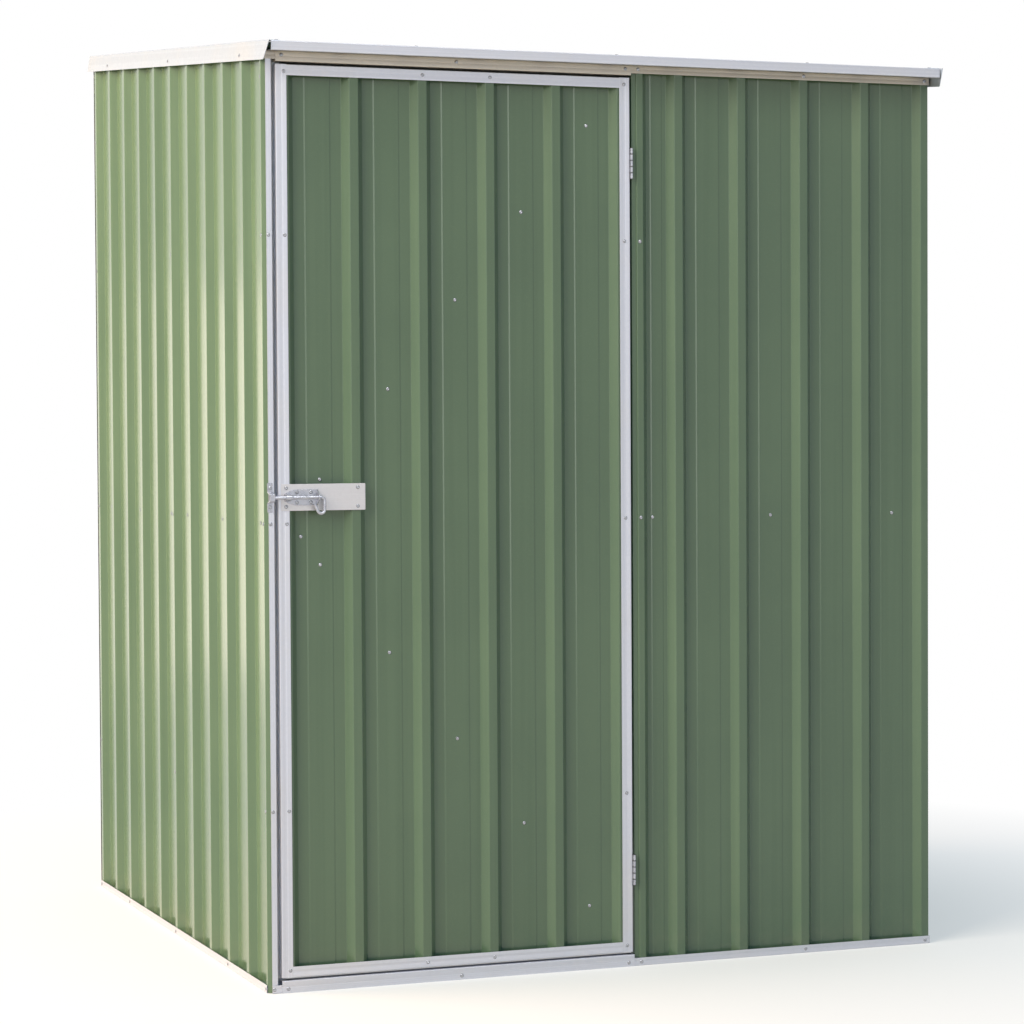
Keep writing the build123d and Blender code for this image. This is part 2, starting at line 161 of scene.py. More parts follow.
# Colours are written as a screen shows them, from 0 to 255
def linear(red, green, blue):
    tones = []
    for value in (red, green, blue):
        share = value / 255
        tones.append(share / 12.92 if share <= 0.04045 else ((share + 0.055) / 1.055) ** 2.4)
    return (*tones, 1.0)


def newFinish(name):
    material = bpy.data.materials.new(name)
    material.use_nodes = True
    tree = material.node_tree
    shader = tree.nodes["Principled BSDF"]
    place = addNode(tree, "ShaderNodeTexCoord").outputs["Object"]
    return material, tree, shader, place


def layerTones(tree, finish, layers):
    colour = finish["colour"]
    for share, tone in layers:
        colour = mixColour(tree, share, colour, finish[tone])
    return colour


# In every finish a noise is given by scale or stretch and detail, and a bump by strength and depth.
# A range takes a noise between its first two values to a share or roughness between its last two.

# Factory paint on the sheets' outer side: satin, faintly clouded and streaked, dusty at the foot
greenPaint = {
    "colour": linear(83, 109, 87),
    "pale": linear(94, 120, 96),
    "deep": linear(74, 101, 79),
    "dust": linear(150, 146, 126),
    "cloud": (2.4, 3.0),
    "cloudRange": (0.35, 0.65, 0, 0.5),
    "streak": ((46.0, 46.0, 0.7), 2.0),
    "streakRange": (0.45, 0.75, 0, 0.45),
    "grain": (360.0, 2.0),
    "grainRange": (0.56, 0.72, 0, 0.3),
    "grainBump": (0.12, 0.0002),
    "patch": (16.0, 4.0),
    "patchRange": (0.4, 0.7, 0, 1),
    "dustHeight": 0.09,
    "dustShare": 0.2,
    "roughRange": (0.3, 0.7, 0.20, 0.26),
    "coat": 0.3,
    "coatRoughness": 0.16,
    "wave": ((5.0, 5.0, 2.2), 1.0),
    "waveBump": (0.25, 0.002),
}


def makeGreenPaint():
    material, tree, shader, place = newFinish("greenPaint")
    cloud = noise(tree, place, *greenPaint["cloud"])
    streak = streaks(tree, place, *greenPaint["streak"])
    grain = noise(tree, place, *greenPaint["grain"])
    wave = streaks(tree, place, *greenPaint["wave"])
    patch = noise(tree, place, *greenPaint["patch"])
    height = addNode(tree, "ShaderNodeSeparateXYZ", {0: place}).outputs["Z"]
    low = remap(tree, height, 0, greenPaint["dustHeight"], greenPaint["dustShare"], 0)
    patchy = remap(tree, patch, *greenPaint["patchRange"])
    layers = (
        (remap(tree, cloud, *greenPaint["cloudRange"]), "pale"),
        (remap(tree, streak, *greenPaint["streakRange"]), "deep"),
        (remap(tree, grain, *greenPaint["grainRange"]), "pale"),
        (calculate(tree, "MULTIPLY", low, patchy), "dust"),
    )
    skin = bump(tree, grain, *greenPaint["grainBump"])
    inputs = {
        "Base Color": layerTones(tree, greenPaint, layers),
        "Roughness": remap(tree, cloud, *greenPaint["roughRange"]),
        "Coat Weight": greenPaint["coat"],
        "Coat Roughness": greenPaint["coatRoughness"],
        "Normal": bump(tree, wave, *greenPaint["waveBump"], skin),
    }
    setInputs(tree, shader, inputs)
    return material


# Galvanised frame: dull zinc with faint crystals, and fine drawing lines along each strip
galvanised = {
    "colour": linear(209, 213, 226),
    "dull": linear(196, 200, 213),
    "stain": linear(202, 198, 190),
    "metallic": 0.55,
    "warpScale": 60.0,
    "warpReach": 0.006,  # how far the crystals' edges are bent, in metres
    "crystalScale": 170.0,
    "crystalRange": (0, 1, 0, 0.35),
    "line": ((1.5, 620.0, 1.0), 1.0),
    "lineRange": (0.45, 0.7, 0, 0.6),
    "lineBump": (0.15, 0.0002),
    "roll": ((0.25, 150.0, 1.0), 1.0),
    "rollRange": (0.4, 0.6, 0, 0.9),
    "cloud": (4.0, 4.0),
    "cloudRange": (0.5, 0.75, 0, 0.25),
    "roughRange": (0, 1, 0.36, 0.46),
}
# Inside the slot beside the door the zinc is painted near-white and barely metallic: painted light
# that brightens the shaded slot
paintedLightZinc = {
    **galvanised,
    "colour": linear(248, 250, 253),
    "dull": linear(240, 243, 249),
    "metallic": 0.1,
}
# The barges face the warm lamps: their zinc is a darker, bluer copy, painted shade that holds back
# the lamps' brightness and warmth
paintedShadeBargeZinc = {
    **galvanised,
    "colour": linear(185, 198, 213),
    "dull": linear(176, 189, 204),
}
# Under the capping the zinc is tinted warm and darker: painted shade and painted warm ground
# reflection, as these parts sit in the capping's shade
paintedShadeZinc = {
    **galvanised,
    "colour": linear(207, 201, 192),
    "dull": linear(198, 192, 183),
}
# The bolt's plate is flat strip with hardly a rolling mark
plateZinc = {
    **galvanised,
    "colour": linear(205, 205, 211),
    "dull": linear(196, 196, 202),
    "roll": ((2.0, 2.0, 1.0), 1.0),
}


def makeGalvanised(name, metal):
    material, tree, shader, place = newFinish(name)
    warp = addNode(tree, "ShaderNodeTexNoise", {"Vector": place, "Scale": metal["warpScale"]})
    inputs = {0: warp.outputs["Color"], 1: (metal["warpReach"],) * 3, 2: place}
    bent = addNode(tree, "ShaderNodeVectorMath", inputs, operation="MULTIPLY_ADD").outputs[0]
    inputs = {"Vector": bent, "Scale": metal["crystalScale"]}
    crystal = addNode(tree, "ShaderNodeTexVoronoi", inputs).outputs["Color"]
    facet = addNode(tree, "ShaderNodeSeparateColor", {0: crystal}).outputs[0]
    strip = addNode(tree, "ShaderNodeUVMap", uv_map="strip").outputs["UV"]
    line = streaks(tree, strip, *metal["line"])
    roll = streaks(tree, strip, *metal["roll"])
    cloud = noise(tree, place, *metal["cloud"])
    layers = (
        (remap(tree, facet, *metal["crystalRange"]), "dull"),
        (remap(tree, line, *metal["lineRange"]), "dull"),
        (remap(tree, roll, *metal["rollRange"]), "dull"),
        (remap(tree, cloud, *metal["cloudRange"]), "stain"),
    )
    inputs = {
        "Base Color": layerTones(tree, metal, layers),
        "Metallic": metal["metallic"],
        "Roughness": remap(tree, facet, *metal["roughRange"]),
        "Normal": bump(tree, line, *metal["lineBump"]),
    }
    setInputs(tree, shader, inputs)
    return material


# Thin pale wash on the sheets' inner side
backCoat = {
    "colour": linear(172, 176, 166),
    "smudge": linear(150, 153, 142),
    "metallic": 0.0,
    "cloud": (5.0, 4.0),
    "cloudRange": (0.42, 0.7, 0, 0.6),
    "roughRange": (0, 1, 0.5, 0.62),
    "grain": (420.0, 2.0),
    "grainBump": (0.12, 0.0002),
}
# Zinc plate on the bolt and hinges: bluish and smoother, with dull smudges
zincPlate = {
    "colour": linear(184, 187, 198),
    "smudge": linear(164, 167, 178),
    "metallic": 0.7,
    "cloud": (90.0, 4.0),
    "cloudRange": (0.42, 0.68, 0, 1),
    "roughRange": (0, 1, 0.20, 0.32),
    "grain": (1400.0, 2.0),
    "grainBump": (0.08, 0.0001),
}
# Rivets are a darker, barer metal
rivetMetal = {
    **zincPlate,
    "colour": linear(164, 166, 171),
    "smudge": linear(144, 146, 152),
    "metallic": 0.85,
    "roughRange": (0, 1, 0.14, 0.22),
}
# Painted shade darkens the joints between the hinges' knuckles, standing in for the shadow in their
# fine gaps
hingeZinc = {
    **zincPlate,
    "paintedJointShade": linear(66, 64, 60),
    "jointPitch": 0.0132,
    "paintedJointShadeRange": (0.06, 0.12, 0.85, 0),  # from the joint, as shares of the pitch
}


def makeSmudged(name, finish):
    material, tree, shader, place = newFinish(name)
    smudge = remap(tree, noise(tree, place, *finish["cloud"]), *finish["cloudRange"])
    layers = [(smudge, "smudge")]
    # dark bands at the knuckle joints are painted shade
    if "paintedJointShade" in finish:
        strip = addNode(tree, "ShaderNodeUVMap", uv_map="strip").outputs["UV"]
        along = addNode(tree, "ShaderNodeSeparateXYZ", {0: strip}).outputs["X"]
        pitches = calculate(tree, "MULTIPLY", along, 1 / finish["jointPitch"])
        joint = calculate(tree, "PINGPONG", pitches, 0.5)
        layers.append((remap(tree, joint, *finish["paintedJointShadeRange"]), "paintedJointShade"))
    grain = noise(tree, place, *finish["grain"])
    inputs = {
        "Base Color": layerTones(tree, finish, layers),
        "Metallic": finish["metallic"],
        "Roughness": remap(tree, smudge, *finish["roughRange"]),
        "Normal": bump(tree, grain, *finish["grainBump"]),
    }
    setInputs(tree, shader, inputs)
    return material


finishes = {
    "greenPaint": makeGreenPaint(),
    "backCoat": makeSmudged("backCoat", backCoat),
    "galvanised": makeGalvanised("galvanised", galvanised),
    "paintedLightZinc": makeGalvanised("paintedLightZinc", paintedLightZinc),
    "paintedShadeBargeZinc": makeGalvanised("paintedShadeBargeZinc", paintedShadeBargeZinc),
    "paintedShadeZinc": makeGalvanised("paintedShadeZinc", paintedShadeZinc),
    "plateZinc": makeGalvanised("plateZinc", plateZinc),
    "zincPlate": makeSmudged("zincPlate", zincPlate),
    "rivetMetal": makeSmudged("rivetMetal", rivetMetal),
    "hingeZinc": makeSmudged("hingeZinc", hingeZinc),
}
print("finishes made:", ", ".join(finishes))

# Sheet metal is bent round a radius: each folded node gets a copy with its bends rounded
sheetMetal = {"gauge": 0.0005, "radius": 0.0020, "segments": 3, "slot": "green_paint"}
frameMetal = {"gauge": 0.0010, "radius": 0.0005, "segments": 3, "slot": "galvanised"}
postMetal = {**frameMetal, "slot": "green_paint"}
strapMetal = {
    "gauge": 0.0012,
    "radius": 0.0008,
    "segments": 3,
    "slot": "zinc_plate",
    "along": (1, 0, 0),  # shorter along its folds than across them
}
hardware = {"edge": 0.0002, "plateEdge": 0.0004, "segments": 2, "slot": "zinc_plate"}
outwardOf = {
    "left_wall": (-1, 0, 0),
    "right_wall": (1, 0, 0),
    "back_wall": (0, 1, 0),
    "front_wall": (0, -1, 0),
    "door": (0, -1, 0),
    "left_roof": (0, 0, 1),
    "right_roof": (0, 0, 1),
}
# The header and top channel under the capping take the warm, darker zinc as painted shade
paintedShadeNodes = ("front_top_channel", "door_header")
bodyOf = {name: node["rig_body"] for name, node in cadNodes.items()}
folding = {
    "mergeDistance": 1e-6,
    "flatAngle": radians(0.5),  # faces closer than this are one
    "sharpAngle": radians(25),  # edges past this stay crisp on a folded piece
    "edgeAngle": radians(35),  # edges past this are eased on a solid one
    "cutGauges": 1.3,  # a face narrower than this is a cut edge
    "endTilt": 0.5,  # a face that leans further along the strip is its end
    "alongTilt": 0.999,
    "paintTilt": -0.05,  # a face that leans further back is on the inner side
}


def openMesh(name):
    source = cadNodes[name].data
    mesh = bpy.data.meshes.new(name + ".formed")
    places = [vertex.co for vertex in source.vertices]
    mesh.from_pydata(places, [], [face.vertices for face in source.polygons])
    shape = bmesh.new()
    shape.from_mesh(mesh)
    bmesh.ops.remove_doubles(shape, verts=shape.verts, dist=folding["mergeDistance"])
    bmesh.ops.dissolve_limit(
        shape, angle_limit=folding["flatAngle"], verts=shape.verts, edges=shape.edges
    )
    return mesh, shape


# Strip coordinates in metres, along the piece from its end and across it, for lines and joints
def addStrip(mesh, along):
    strip = mesh.uv_layers.new(name="strip")
    start = min(vertex.co.dot(along) for vertex in mesh.vertices)
    for face in mesh.polygons:
        across = face.normal.cross(along)
        for corner in face.loop_indices:
            place = mesh.vertices[mesh.loops[corner].vertex_index].co
            strip.data[corner].uv = (place.dot(along) - start, place.dot(across))


def closeMesh(name, mesh, shape, materials, width, segments, along):
    shape.to_mesh(mesh)
    shape.free()
    for material in materials:
        mesh.materials.append(material)
    draft = bpy.data.objects.new(name + ".draft", mesh)
    scene.collection.objects.link(draft)
    bevel = draft.modifiers.new("bends", "BEVEL")
    bevel.width = width
    bevel.segments = segments
    bevel.limit_method = "WEIGHT"
    bevel.use_clamp_overlap = False
    bevel.harden_normals = True
    bpy.context.view_layer.update()
    graph = bpy.context.evaluated_depsgraph_get()
    formed = bpy.data.meshes.new_from_object(draft.evaluated_get(graph))
    bpy.data.objects.remove(draft)
    addStrip(formed, along)
    piece = bpy.data.objects.new(name + ".formed", formed)
    scene.collection.objects.link(piece)
    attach(piece, bodyOf[name])
    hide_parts(name)


def meanWidth(face):
    return face.calc_area() / max(edge.calc_length() for edge in face.edges)


def formFold(name, metal, coats, outward=None):
    mesh, shape = openMesh(name)
    longest = max(shape.edges, key=lambda edge: edge.calc_length())
    along = Vector(metal.get("along", longest.verts[1].co - longest.verts[0].co)).normalized()
    narrow = metal["gauge"] * folding["cutGauges"]
    strips = {
        face
        for face in shape.faces
        if abs(face.normal.dot(along)) < folding["endTilt"] and meanWidth(face) > narrow
    }
    weights = shape.edges.layers.float.new("bevel_weight_edge")
    offsets = {}
    for edge in shape.edges:
        edge.smooth = True
        if len(edge.link_faces) != 2:
            continue
        angle = edge.calc_face_angle_signed()
        way = (edge.verts[1].co - edge.verts[0].co).normalized()
        lengthwise = abs(way.dot(along)) > folding["alongTilt"]
        if lengthwise and all(face in strips for face in edge.link_faces):
            radius = metal["radius"] + (metal["gauge"] if angle > 0 else 0)
            offsets[edge] = radius * tan(abs(angle) / 2)
        elif abs(angle) > folding["sharpAngle"]:
            edge.smooth = False
    width = max(offsets.values())
    for edge, offset in offsets.items():
        edge[weights] = offset / width
    for face in shape.faces:
        face.smooth = True
        if outward is not None:
            painted = face.normal.dot(outward) > folding["paintTilt"]
            face.material_index = 2 if face not in strips else 0 if painted else 1
    closeMesh(name, mesh, shape, coats, width, metal["segments"], along)


def formSolid(name, coats, edgeWidth, along=(1, 0, 0)):
    mesh, shape = openMesh(name)
    weights = shape.edges.layers.float.new("bevel_weight_edge")
    for face in shape.faces:
        face.smooth = True
    for edge in shape.edges:
        if len(edge.link_faces) == 2 and edge.calc_face_angle() > folding["edgeAngle"]:
            edge[weights] = 1.0
    closeMesh(name, mesh, shape, coats, edgeWidth, hardware["segments"], Vector(along))


def formEverything():
    paint, back = finishes["greenPaint"], finishes["backCoat"]
    bare, zinc = finishes["galvanised"], finishes["zincPlate"]
    jointShadedZinc, plate = finishes["hingeZinc"], finishes["plateZinc"]
    slot, edge = hardware["slot"], hardware["edge"]
    for name in sorted(cadNodes):
        if name.endswith("_sheet"):
            side = next(key for key in outwardOf if name.startswith(key))
            formFold(name, sheetMetal, [paint, back, bare], Vector(outwardOf[side]))
        elif name == "hinge_post":
            formFold(name, postMetal, [paint])
        elif name == "bolt_keeper":
            formFold(name, strapMetal, [zinc])
        elif name == "bolt_plate":
            formSolid(name, [plate], hardware["plateEdge"])
        elif name.startswith("bolt_"):
            formSolid(name, [zinc], edge)
        elif "_hinge_" in name:
            formSolid(name, [jointShadedZinc], edge, (0, 0, 1))
        # the barges take the darker, bluer zinc as painted shade against the lamps
        elif name.endswith("_barge"):
            formFold(name, frameMetal, [finishes["paintedShadeBargeZinc"]])
        # these nodes take the warm, darker zinc as painted shade under the capping
        elif name in paintedShadeNodes:
            formFold(name, frameMetal, [finishes["paintedShadeZinc"]])
        else:
            formFold(name, frameMetal, [bare])


# The jamb's faces behind its front flange are inside the slot and get the near-white zinc as
# painted light
paintedLightDepth = 0.003


def paintJambSlotLight():
    mesh = scene.objects["door_jamb.formed"].data
    mesh.materials.append(finishes["paintedLightZinc"])
    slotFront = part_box("door_jamb")[0].y + paintedLightDepth
    for face in mesh.polygons:
        if face.center.y > slotFront:
            face.material_index = 1


formEverything()
paintJambSlotLight()
print("bends rounded on", len(cadNodes), "nodes")

# Where rivets sit, worked out from the nodes they hold and set on their outer faces
ribs = {
    "period": 0.1485,
    "crest": 0.0187,
    "margin": 0.0025,
    "count": 10,
    "lap": 5,
    "cornerRun": 0.009,
}
rowStep = 0.587
castReach = 0.3
rivetSeats = {"shed": [], "door": []}
treeOf = {}


def surfaceOf(name):
    if name not in treeOf:
        mesh = cadNodes[name].data
        faces = [tuple(face.vertices) for face in mesh.polygons]
        treeOf[name] = BVHTree.FromPolygons([vertex.co.copy() for vertex in mesh.vertices], faces)
    return treeOf[name]


def rivetOn(name, x, y, z, facing):
    facing = Vector(facing).normalized()
    place, normal, *_ = surfaceOf(name).ray_cast(Vector((x, y, z)) + facing * castReach, -facing)
    if place is None:
        raise ValueError(f"no rivet seat on {name} at {x:.3f}, {y:.3f}, {z:.3f}")
    rivetSeats[bodyOf[name]].append((place, normal))


def centreOf(name):
    low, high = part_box(name)
    return (low + high) / 2


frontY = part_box("front_base_channel")[0].y
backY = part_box("back_base_channel")[1].y
halfSpan = -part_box("left_base_channel")[0].x
midHeight = centreOf("left_wall_rail").z
rowHeights = (midHeight - rowStep, midHeight, midHeight + rowStep)
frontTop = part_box("front_top_channel")[1]
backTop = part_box("back_top_channel")[1]
roofRise = (backTop.z - frontTop.z) / (backTop.y - frontTop.y)
crestCentre = ribs["margin"] + ribs["crest"] / 2
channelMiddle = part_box("front_base_channel")[1].z / 2
facingFront, facingBack = (0, -1, 0), (0, 1, 0)
facingLeft, facingRight, facingUp = (-1, 0, 0), (1, 0, 0), (0, 0, 1)

# Each wall counts its ribs from the first crest, and its lapped sheets are the near and the far one
sideWalls = {
    "left": {
        "first": (-halfSpan, frontY + crestCentre),
        "step": (0, 1),
        "facing": facingLeft,
        "near": "front",
        "far": "rear",
    },
    "right": {
        "first": (halfSpan, backY - crestCentre),
        "step": (0, -1),
        "facing": facingRight,
        "near": "rear",
        "far": "front",
    },
    "back": {
        "first": (-halfSpan + crestCentre, backY),
        "step": (1, 0),
        "facing": facingBack,
        "near": "left",
        "far": "right",
    },
}
wallRivets = {
    "midPans": (0.5, 2.5, 4.5, 5.5, 7.5, 9.5),
    "baseCrests": (0, 2, 5, 8, 10),
    "cornerDrop": 0.052,
}


def wallPlace(wall, number):
    along = number * ribs["period"] + (ribs["cornerRun"] / 2 if number == 0 else 0)
    return [first + step * along for first, step in zip(wall["first"], wall["step"])]


def rivetSheet(side, number, height):
    wall = sideWalls[side]
    half = wall["near"] if number <= ribs["lap"] else wall["far"]
    rivetOn(f"{side}_wall_{half}_sheet", *wallPlace(wall, number), height, wall["facing"])


def rivetWalls():
    for side, wall in sideWalls.items():
        for number in wallRivets["midPans"]:
            rivetSheet(side, number, midHeight)
        for number in (0, ribs["lap"], ribs["count"]):
            for height in rowHeights:
                rivetSheet(side, number, height)
        for number in (0, ribs["count"]):
            rivetSheet(side, number, frontTop.z - wallRivets["cornerDrop"])
        for number in wallRivets["baseCrests"]:
            place = wallPlace(wall, number)
            rivetOn(f"{side}_base_channel", *place, channelMiddle, wall["facing"])


frontRivets = {
    "crests": 5,
    "postInset": 0.0078,
    "panShift": 0.012,
    "endInset": 0.013,
    "sillShift": 0.003,
    "besideDoor": 0.020,
    "jambInset": 0.0040,
}


def rivetFront():
    period, endInset = ribs["period"], frontRivets["endInset"]
    crests = [halfSpan - crestCentre - number * period for number in range(frontRivets["crests"])]
    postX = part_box("front_wall_sheet")[0].x + frontRivets["postInset"]
    narrowPan = (postX + crests[-1]) / 2 - frontRivets["panShift"]
    for height in rowHeights[1:]:
        rivetOn("front_wall_sheet", postX, frontY, height, facingFront)
    for x in (narrowPan, crests[2] - period / 2, crests[0] - period / 2):
        rivetOn("front_wall_sheet", x, frontY, midHeight, facingFront)
    doorLeft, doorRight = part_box("door_left_stile")[0].x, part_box("door_right_stile")[1].x
    for x in (doorRight + frontRivets["besideDoor"], crests[2], halfSpan - endInset):
        rivetOn("front_base_channel", x, frontY, channelMiddle, facingFront)
        rivetOn("front_top_channel", x, frontY, frontTop.z - channelMiddle, facingFront)
    sillEnd = doorRight - endInset + frontRivets["sillShift"]
    for x in (doorLeft + endInset, (doorLeft + doorRight) / 2, sillEnd):
        rivetOn("door_sill", x, frontY, channelMiddle, facingFront)
        rivetOn("door_header", x, frontY, frontTop.z - channelMiddle, facingFront)
    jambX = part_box("door_jamb")[0].x + frontRivets["jambInset"]
    for height in rowHeights:
        rivetOn("door_jamb", jambX, frontY, height, facingFront)
    rivetOn("front_base_channel", jambX, frontY, channelMiddle, facingFront)


roofRivets = {
    "bargeRows": (1, 5, 9),
    "bargeShift": 0.0036,
    "bargeDrop": 0.009,
    "lapInset": (0.0215, 0.012),  # from the barge's outer face and from the capping's
    "cappingRows": (2, 5, 8),
}


def rivetRoof():
    lapX, lapY = roofRivets["lapInset"]
    for name, hand in (("left_barge", -1), ("right_barge", 1)):
        for number in roofRivets["bargeRows"]:
            y = frontY + number * ribs["period"] - roofRivets["bargeShift"]
            deck = frontTop.z + (y - frontY) * roofRise
            rivetOn(name, hand * halfSpan, y, deck - roofRivets["bargeDrop"], (hand, 0, 0))
        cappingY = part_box("roof_front_capping")[0].y + lapY
        rivetOn(name, hand * (halfSpan - lapX), cappingY, frontTop.z, facingUp)
    for name in ("roof_front_capping", "roof_back_capping"):
        for number in roofRivets["cappingRows"]:
            x = (ribs["count"] / 2 - number) * ribs["period"]
            rivetOn(name, x, centreOf(name).y, centreOf(name).z, facingUp)


doorRivets = {
    "pans": 5,
    "belowBolt": (0.0523, 0.027),  # in from the stile's edge and down from mid height
    "stileInset": 0.0177,
    "rightShift": 0.005,
    "endInset": 0.0145,
    "railCrests": (2, 3),
}


def rivetDoor():
    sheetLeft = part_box("door_sheet")[0].x
    leftStile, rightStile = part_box("door_left_stile"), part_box("door_right_stile")
    firstPan = sheetLeft + (ribs["crest"] + ribs["period"]) / 2
    for name, hand in (("door_upper_brace", 1), ("door_lower_brace", -1)):
        low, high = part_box(name)
        start, end = (low.z, high.z) if hand > 0 else (high.z, low.z)
        for pan in range(doorRivets["pans"]):
            x = firstPan + pan * ribs["period"]
            share = (x - low.x) / (high.x - low.x)
            rivetOn("door_sheet", x, frontY, start + (end - start) * share, facingFront)
    inward, down = doorRivets["belowBolt"]
    rivetOn("door_sheet", leftStile[0].x + inward, frontY, midHeight - down, facingFront)
    leftX = leftStile[0].x + doorRivets["stileInset"]
    rightX = rightStile[1].x - doorRivets["stileInset"] + doorRivets["rightShift"]
    endInset = doorRivets["endInset"]
    for height in (leftStile[0].z + endInset, *rowHeights, leftStile[1].z - endInset):
        rivetOn("door_left_stile", leftX, frontY, height, facingFront)
        rivetOn("door_right_stile", rightX, frontY, height, facingFront)
    for name in ("door_top_rail", "door_bottom_rail"):
        for crest in doorRivets["railCrests"]:
            x = sheetLeft + ribs["crest"] / 2 + crest * ribs["period"]
            rivetOn(name, x, frontY, centreOf(name).z, facingFront)


boltRivets = {
    "plateRise": 0.01925,
    "plateInset": (0.0105, 0.0165),  # at its left end and at its right end
    "baseRise": 0.0103,
    "baseInset": (0.0266, 0.0565),  # both from its left end
}


def rivetBolt():
    rodHeight = centreOf("bolt_rod").z
    keeperX = centreOf("bolt_keeper").x
    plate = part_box("bolt_plate")
    leftInset, rightInset = boltRivets["plateInset"]
    for rise in (-boltRivets["plateRise"], boltRivets["plateRise"]):
        for x in (plate[0].x + leftInset, plate[1].x - rightInset):
            rivetOn("bolt_plate", x, frontY, rodHeight + rise, facingFront)
        rivetOn("bolt_keeper", keeperX, frontY, rodHeight + rise, facingFront)
    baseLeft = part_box("bolt_base")[0].x
    for rise in (-boltRivets["baseRise"], boltRivets["baseRise"]):
        for inset in boltRivets["baseInset"]:
            rivetOn("bolt_base", baseLeft + inset, frontY, rodHeight + rise, facingFront)


rivetWalls()
rivetFront()
rivetRoof()
rivetDoor()
rivetBolt()
print("rivet seats:", {body: len(seats) for body, seats in rivetSeats.items()})

# One domed head: shares of its radius and height from the rim, up over the dome and down into the
# drawn pin's dimple
rivetHead = {
    "radius": 0.0040,
    "height": 0.0017,
    "sunk": 0.0002,
    "sides": 12,
    "rings": 7,
    "seed": 7,
    "weld": 1e-5,
    "outline": (1, 1, 0.86, 0.62, 0.36, 0.24, 0),
    "dome": (0, 0.28, 0.66, 0.92, 1, 0.7, 0.64),
    "stations": (0, 0.17, 0.34, 0.5, 0.67, 0.83, 1),
}


def profile(tree, share, heights):
    curve = addNode(tree, "ShaderNodeFloatCurve", {"Value": share})
    line = curve.mapping.curves[0]
    while len(line.points) < len(heights):
        line.points.new(0.5, 0.5)
    for point, station, height in zip(line.points, rivetHead["stations"], heights):
        point.location = (station, height)
        point.handle_type = "VECTOR"
    curve.mapping.update()
    return curve.outputs["Value"]


# Geometry Nodes turn a grid into one head and set a copy, spun at random, on every seat
def makeRivetTree():
    tree = bpy.data.node_groups.new("rivetHeads", "GeometryNodeTree")
    tree.interface.new_socket("Seats", in_out="INPUT", socket_type="NodeSocketGeometry")
    kinds = {"Radius": "Float", "Height": "Float", "Sides": "Int", "Rings": "Int", "Seed": "Int"}
    for label, kind in kinds.items():
        tree.interface.new_socket(label, in_out="INPUT", socket_type=f"NodeSocket{kind}")
    tree.interface.new_socket("Heads", in_out="OUTPUT", socket_type="NodeSocketGeometry")
    given = addNode(tree, "NodeGroupInput").outputs
    turns = calculate(tree, "ADD", given["Sides"], 1.0)
    inputs = {"Size X": 1.0, "Size Y": 1.0, "Vertices X": given["Rings"], "Vertices Y": turns}
    grid = addNode(tree, "GeometryNodeMeshGrid", inputs).outputs["Mesh"]
    place = addNode(tree, "GeometryNodeInputPosition").outputs[0]
    here = addNode(tree, "ShaderNodeSeparateXYZ", {0: place}).outputs
    share = calculate(tree, "ADD", here["X"], 0.5)
    angle = calculate(tree, "MULTIPLY", here["Y"], 2 * pi)
    outline = profile(tree, share, rivetHead["outline"])
    dome = profile(tree, share, rivetHead["dome"])
    reach = calculate(tree, "MULTIPLY", outline, given["Radius"])
    rise = calculate(tree, "MULTIPLY", dome, given["Height"])
    across = calculate(tree, "MULTIPLY", reach, calculate(tree, "COSINE", angle))
    along = calculate(tree, "MULTIPLY", reach, calculate(tree, "SINE", angle))
    spun = addNode(tree, "ShaderNodeCombineXYZ", {0: across, 1: along, 2: rise}).outputs[0]
    inputs = {"Geometry": grid, "Position": spun}
    head = addNode(tree, "GeometryNodeSetPosition", inputs).outputs[0]
    inputs = {"Geometry": head, "Distance": rivetHead["weld"]}
    head = addNode(tree, "GeometryNodeMergeByDistance", inputs).outputs[0]
    head = addNode(tree, "GeometryNodeSetShadeSmooth", {"Geometry": head}).outputs[0]
    inputs = {"Name": "facing"}
    facing = addNode(tree, "GeometryNodeInputNamedAttribute", inputs, data_type="FLOAT_VECTOR")
    inputs = {"Vector": facing.outputs["Attribute"]}
    turned = addNode(tree, "FunctionNodeAlignRotationToVector", inputs, axis="Z").outputs[0]
    inputs = {2: 0.0, 3: 2 * pi, "Seed": given["Seed"]}
    spin = addNode(tree, "FunctionNodeRandomValue", inputs, data_type="FLOAT").outputs[1]
    roll = addNode(tree, "FunctionNodeAxisAngleToRotation", {"Angle": spin}).outputs[0]
    inputs = {0: turned, 1: roll}
    rolled = addNode(tree, "FunctionNodeRotateRotation", inputs, rotation_space="LOCAL").outputs[0]
    points = addNode(tree, "GeometryNodeMeshToPoints", {"Mesh": given["Seats"]}).outputs[0]
    inputs = {"Points": points, "Instance": head, "Rotation": rolled}
    copies = addNode(tree, "GeometryNodeInstanceOnPoints", inputs).outputs[0]
    real = addNode(tree, "GeometryNodeRealizeInstances", {"Geometry": copies}).outputs[0]
    inputs = {"Geometry": real, "Material": finishes["rivetMetal"]}
    coated = addNode(tree, "GeometryNodeSetMaterial", inputs).outputs[0]
    addNode(tree, "NodeGroupOutput", {0: coated})
    return tree


